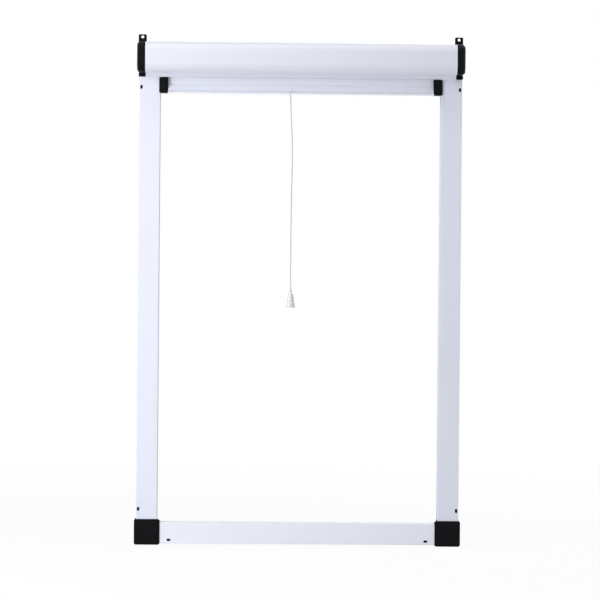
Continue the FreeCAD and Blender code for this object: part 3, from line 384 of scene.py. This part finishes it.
# Radius and height over the mouth, in mm: up the hollow, then round the rim and up the outside to the neck's hole
BELL_HOLLOW = [(1.75, 13.5), (1.9, 12.2), (2.5, 8.0), (3.1, 4.0), (3.7, 0.7), (4.0, 0.15), (4.7, 0.0), (5.25, 0.15)]
BELL_OUTSIDE = [
    (5.55, 0.7), (5.6, 1.5), (5.45, 2.6), (5.15, 4.4), (4.75, 7.2), (4.35, 10.0), (3.95, 12.8),
    (3.6, 15.2), (3.3, 16.7), (2.9, 17.6), (2.3, 18.1), (1.7, 18.3), (1.45, 18.7), (1.5, 19.2),
    (1.85, 19.8), (2.0, 20.6), (1.9, 21.4), (1.5, 22.0), (0.95, 22.25), (0.72, 22.2), (0.7, 20.0),
]
BELL_AROUND = 72
BELL_FLUTES = 12
FLUTE_DEEP = 0.2
FLUTE_FOOT, FLUTE_HEAD = 3.0, 16.0


def flute_depth(angle, height):
    """How far the skirt is drawn in at this angle and height, in mm. Each flute fades out at both ends."""
    if not FLUTE_FOOT < height < FLUTE_HEAD:
        return 0
    fade = math.sin((height - FLUTE_FOOT) / (FLUTE_HEAD - FLUTE_FOOT) * math.pi) ** 0.5
    return FLUTE_DEEP * (1 - abs(math.sin(angle * BELL_FLUTES / 2)) ** 0.6) * fade


def make_bell(material):
    """The bell: a ball neck, a soft shoulder and a shallow-fluted skirt with a thick round rim."""
    low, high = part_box("cord_bell")
    middle = (low + high) / 2
    points = []
    for radius, height in BELL_HOLLOW + BELL_OUTSIDE:
        outside = (radius, height) in BELL_OUTSIDE
        for i in range(BELL_AROUND):
            angle = i / BELL_AROUND * 2 * math.pi
            here = (radius - (flute_depth(angle, height) if outside else 0)) * MM
            points.append((middle.x + here * math.cos(angle), middle.y + here * math.sin(angle),
                           low.z + height * MM))
    faces = capped_tube(len(BELL_HOLLOW + BELL_OUTSIDE), BELL_AROUND)
    bell = new_piece("pearl_bell", points, faces, material, "bar")
    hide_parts("cord_bell")
    return bell


# The screen: the run that shows when the bar comes down, and the turns on the roller

def make_cloth(material):
    """The short run of screen from the roll to the bar, as it hangs with the bar up."""
    low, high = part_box("screen_cloth")
    out = (low.y + high.y) / 2
    across, down = 60, 12
    points = [
        (low.x + (high.x - low.x) * i / across, out, high.z + (low.z - high.z) * j / down)
        for j in range(down + 1) for i in range(across + 1)
    ]
    wide = across + 1
    faces = [
        (j * wide + i, (j + 1) * wide + i, (j + 1) * wide + i + 1, j * wide + i + 1)
        for j in range(down) for i in range(across)
    ]
    cloth = new_piece("insect_screen", points, faces, material, None)
    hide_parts("screen_cloth")
    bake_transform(cloth)


SCREEN_THICK = 0.25 * MM
ROLL_INSIDE = 9.05 * MM   # just clear of the roller tube
LAYER_SHARE = 0.82        # of the pitch from turn to turn, so that a fine gap shows between them
ROLL_STEPS = 40           # steps in one turn


def make_roll(material):
    """The wound screen as one long spiral, which shows its turns at both ends."""
    low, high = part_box("screen_roll")
    middle = (low + high) / 2
    outer = (high.z - low.z) / 2
    turns = (outer - ROLL_INSIDE) / SCREEN_THICK
    steps = int(turns * ROLL_STEPS)
    layer = SCREEN_THICK * LAYER_SHARE
    points = []
    for step in range(steps + 1):
        share = step / steps
        angle = math.pi / 2 - share * turns * 2 * math.pi
        radius = ROLL_INSIDE + share * (outer - ROLL_INSIDE - layer)
        for extra, x in ((0, low.x), (layer, low.x), (layer, high.x), (0, high.x)):
            points.append((x, middle.y + (radius + extra) * math.cos(angle),
                           middle.z + (radius + extra) * math.sin(angle)))
    faces = capped_tube(steps + 1, 4)
    roll = new_piece("wound_screen", points, faces, material, "roller", smooth=False)
    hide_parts("screen_roll")


WIRE = 1.1 * MM
COIL_PITCH = WIRE * 1.25
COIL_STEPS = 14   # steps in one turn
WIRE_SIDES = 6


def make_spring(material):
    """The torsion spring as a coil of round wire, with a quarter of the wire's thickness between turns."""
    low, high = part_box("torsion_spring")
    middle = (low + high) / 2
    radius = (high.z - low.z) / 2 - WIRE / 2
    turns = int((high.x - low.x - WIRE) / COIL_PITCH)
    steps = turns * COIL_STEPS
    points = []
    for step in range(steps + 1):
        angle = step / COIL_STEPS * 2 * math.pi
        x = low.x + WIRE / 2 + (high.x - low.x - WIRE) * step / steps
        outward = Vector((0, math.cos(angle), math.sin(angle)))
        for i in range(WIRE_SIDES):
            side = i / WIRE_SIDES * 2 * math.pi
            offset = outward * (math.cos(side) * WIRE / 2) + Vector((math.sin(side) * WIRE / 2, 0, 0))
            points.append(Vector((x, middle.y, middle.z)) + outward * radius + offset)
    faces = capped_tube(steps + 1, WIRE_SIDES)
    spring = new_piece("spring_coil", points, faces, material, "frame")
    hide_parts("torsion_spring")


# Brush strips: a woven backing, a dense core of pile and loose fibres along it

BACKING_THICK = 0.9 * MM
BACKING_PLAY = 0.02 * MM      # each side, in its slot
CORE_HALF_WIDE = 1.12 * MM
CORE_SHARE = 0.86             # of the brush's height
CORE_SHORT = 0.2 * MM         # at each end
CORE_BOW = 0.1 * MM
FIBRE_PITCH = 0.75 * MM
FIBRE_ROWS = (-1.15, -0.6, 0, 0.6, 1.15)
FIBRE_WIDE = 0.34 * MM        # a tuft of real fibres, which are too fine to show one by one
FIBRE_TIP_SHARE = 0.7         # of its width at the foot
FIBRE_SIDES = (0.3, 2.4, 4.5)   # directions of its three edges, in radians


def pile_brush(name, node, body, along, away, material, backing_material, chance):
    """A brush that replaces its CAD node. It runs along one axis and its pile points away."""
    low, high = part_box(node)
    run = abs(high.dot(along) - low.dot(along))
    side = along.cross(away).normalized()
    side = Vector(abs(c) for c in side)
    middle = (low + high) / 2
    depth = abs((high - low).dot(away))
    half_wide = abs((high - low).dot(side)) / 2
    foot = middle - away * (depth / 2)

    def block(across_half, start, end, short, bow):
        """A long bar from start to end along the pile, short at both ends, with its sides bowed out."""
        corners = [(-across_half, start), (across_half, start), (across_half + bow, (start + end) / 2),
                   (across_half, end), (-across_half, end), (-across_half - bow, (start + end) / 2)]
        ends = (-run / 2 + short, run / 2 - short)
        points = [foot + along * x + side * s + away * a for x in ends for s, a in corners]
        return points, capped_tube(2, len(corners))

    points, faces = block(half_wide - BACKING_PLAY, 0, BACKING_THICK, 0, 0)
    backing = new_piece(name + "_backing", points, faces, backing_material, body, smooth=False)
    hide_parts(node)

    points, faces = block(CORE_HALF_WIDE, BACKING_THICK, depth * CORE_SHARE, CORE_SHORT, CORE_BOW)
    count = int(run / FIBRE_PITCH)
    for row in FIBRE_ROWS:
        for i in range(count):
            centre = -run / 2 + (i + 0.5 + chance.uniform(-0.3, 0.3)) * run / count
            across = row * MM + chance.uniform(-0.12, 0.12) * MM
            lean_along, lean_across = chance.gauss(0, 0.25) * MM, chance.gauss(0, 0.1) * MM
            tip = depth * chance.uniform(0.93, 1.0)
            base = foot + along * centre + side * across + away * BACKING_THICK
            end = foot + along * (centre + lean_along) + side * (across + lean_across) + away * tip
            first = len(points)
            for place, width in ((base, FIBRE_WIDE), (end, FIBRE_WIDE * FIBRE_TIP_SHARE)):
                for spin in FIBRE_SIDES:
                    points.append(place + along * (math.cos(spin) * width / 2) + side * (math.sin(spin) * width / 2))
            faces += [(first, first + 1, first + 4, first + 3), (first + 1, first + 2, first + 5, first + 4),
                      (first + 2, first, first + 3, first + 5), (first + 3, first + 4, first + 5)]
    new_piece(name + "_pile", points, faces, material, body, smooth=False)


def make_brushes(material, backing_material):
    """The pile strips of the rails, of the cassette's slot and under the bar."""
    chance = random.Random(7)
    up, across = Vector((0, 0, 1)), Vector((1, 0, 0))
    front, back = Vector((0, 1, 0)), Vector((0, -1, 0))
    for side in ("left", "right"):
        for place, away in (("front", front), ("back", back)):
            node = f"{side}_rail_{place}_brush"
            pile_brush(f"{side}_{place}", node, "frame", up, away, material, backing_material, chance)
    for place, away in (("front", front), ("back", back)):
        pile_brush(f"cassette_{place}", f"cassette_{place}_brush", "frame", across, away, material,
                   backing_material, chance)
    pile_brush("bar_foot", "bar_bottom_brush", "bar", across, Vector((0, 0, -1)), material, backing_material, chance)


# Light and surroundings

WORLD_LIGHT = 0.125                 # on the object. The camera sees the world at a strength of 1
FLOOR_HALF = 8                      # metres each way
FLOOR_NEAR, FLOOR_FAR = 0.2, 1.6    # from here to there the floor fades into the white
FLOOR_SHARE = 0.08                  # how much of the floor's own shading shows near the object


def seen_directly(tree):
    """1 for what the camera, a reflection or a clear piece sees, and 0 for the light that falls on things."""
    path = add(tree, "LightPath")
    either = add(tree, "Math", {0: path.outputs["Is Camera Ray"], 1: path.outputs["Is Glossy Ray"]},
                 operation="MAXIMUM")
    return add(tree, "Math", {0: either.outputs[0], 1: path.outputs["Is Transmission Ray"]},
               operation="MAXIMUM").outputs[0]


def make_world():
    world = bpy.data.worlds.new("white_studio")
    scene.world = world
    world.use_nodes = True
    tree = world.node_tree
    tree.nodes.clear()
    strength = add(tree, "MapRange", {"Value": seen_directly(tree), "To Min": WORLD_LIGHT, "To Max": 1})
    background = add(tree, "Background", {"Color": (1, 1, 1, 1), "Strength": strength.outputs["Result"]})
    output = add(tree, "OutputWorld")
    tree.links.new(background.outputs["Background"], output.inputs["Surface"])


def make_floor():
    """A pale floor that takes the object's shadow near it and fades into the white round about."""
    corners = [(x * FLOOR_HALF, y * FLOOR_HALF, 0) for x, y in ((-1, -1), (1, -1), (1, 1), (-1, 1))]
    data = bpy.data.meshes.new("studio_floor")
    data.from_pydata(corners, [], [(0, 1, 2, 3)])
    floor = bpy.data.objects.new("studio_floor", data)
    scene.collection.objects.link(floor)
    material = bpy.data.materials.new("pale_floor")
    material.use_nodes = True
    tree = material.node_tree
    tree.nodes.clear()
    place = add(tree, "TexCoord").outputs["Object"]
    away = add(tree, "VectorMath", {0: place}, operation="LENGTH")
    share = add(tree, "MapRange", {"Value": away.outputs["Value"], "From Min": FLOOR_NEAR, "From Max": FLOOR_FAR,
                                   "To Min": 1 - FLOOR_SHARE, "To Max": 1}, interpolation_type="SMOOTHSTEP")
    glow_share = add(tree, "Math", {0: share.outputs["Result"], 1: seen_directly(tree)}, operation="MULTIPLY")
    pale = add(tree, "BsdfDiffuse", {"Color": linear("#F7F7F8")})
    glow = add(tree, "Emission", {"Color": (1, 1, 1, 1), "Strength": 1.0})
    mixed = add(tree, "MixShader", {0: glow_share.outputs[0], 1: pale.outputs["BSDF"], 2: glow.outputs["Emission"]})
    output = add(tree, "OutputMaterial")
    tree.links.new(mixed.outputs["Shader"], output.inputs["Surface"])
    data.materials.append(material)


def soft_light(name, place, aim, wide, high, watts):
    """A rectangular lamp at a place, turned towards its aim."""
    data = bpy.data.lights.new(name, "AREA")
    data.shape = "RECTANGLE"
    data.size, data.size_y, data.energy = wide, high, watts
    light = bpy.data.objects.new(name, data)
    scene.collection.objects.link(light)
    place, aim = Vector(place), Vector(aim)
    light.location = place
    light.rotation_euler = (aim - place).to_track_quat("-Z", "Y").to_euler()


# Name: place, aim, width and height, all in metres, and watts
LIGHTS = {
    "front_key": ((-0.6, -1.5, 1.5), (0, 0, 0.4), 1.2, 0.6, 4.3),
    "side_key": ((-1.3, -1.0, 1.2), (0, 0, 0.4), 0.7, 0.7, 9.8),
    "near_key": ((-0.74, -0.82, 0.27), (0, 0, 0.26), 0.7, 1.0, 6.6),
    "overhead": ((0.1, -0.25, 1.5), (0, 0, 0.6), 1.2, 0.4, 5.2),
    "right_fill": ((1.5, 0.3, 0.6), (0, 0, 0.3), 0.6, 0.8, 5.0),
    "rear_fill": ((0.7, 1.5, 1.1), (0, 0, 0.35), 1.0, 1.0, 10.0),
}


def make_lights():
    """Three soft keys in front and to the left, a strip overhead, and fills at the right and behind."""
    for name, facts in LIGHTS.items():
        soft_light(name, *facts)


# Putting it together

def dress(finishes):
    """Gives every CAD node that stays its finish."""
    for finish, names in finishes:
        for name in names:
            data = nodes[name].data
            data.materials.clear()
            data.materials.append(finish)


def main():
    make_camera()
    cord, points = make_cord(braided_cord("braided_cord", CORD_LENGTH, "#DCDCDC", "#A9A9A9"))
    # The knot hardly shows against the bar in the photo, so its strands get painted light, paler than the cord's.
    knot = make_knot(braided_cord("knotted_cord_painted_light", KNOT_LENGTH, "#FAFAFA", "#E6E6E6"))
    bell = make_bell(pearl_plastic())
    steel, acetal = plated_steel(), grey_acetal()
    sides = ("left", "right")
    # The white parts share one coat in life. Their shades here are painted light and shade: the cassette's is
    # painted darker and the bar's and the sill's lighter, so that each comes out as light as in the photo under
    # these lamps.
    dress([
        (white_powder_coat("rail_coat", "#E6E9F7", "#E3E6F4"), ["left_guide_rail", "right_guide_rail"]),
        (white_powder_coat("cassette_coat_painted_shade", "#E3E5F1", "#E0E2EE"), ["cassette_housing"]),
        (white_powder_coat("bar_coat_painted_light", "#F1F3FC", "#EEF0F9"), ["pull_bar"]),
        (white_powder_coat("sill_coat_painted_light", "#F0F2FC", "#EDEFF9"), ["bottom_rail"]),
        (black_nylon(), [side + part for side in sides for part in ("_end_cap", "_corner_block", "_bar_slider")]),
        (mill_aluminium(), ["roller_tube"]),
        (steel, ["spring_shaft"]),
        (acetal, ["roller_idler_plug", "roller_spring_plug", "spring_anchor"]),
        (bead_vinyl(), ["tube_bead", "bar_bead"]),
    ])
    make_cloth(insect_mesh())
    make_roll(wound_mesh())
    make_spring(steel)
    make_brushes(brush_pile("brush_pile", "#C6C8CE", "#ABADB4"), brush_pile("brush_backing", "#A4A6AC", "#909298"))
    make_world()
    make_floor()
    make_lights()


main()
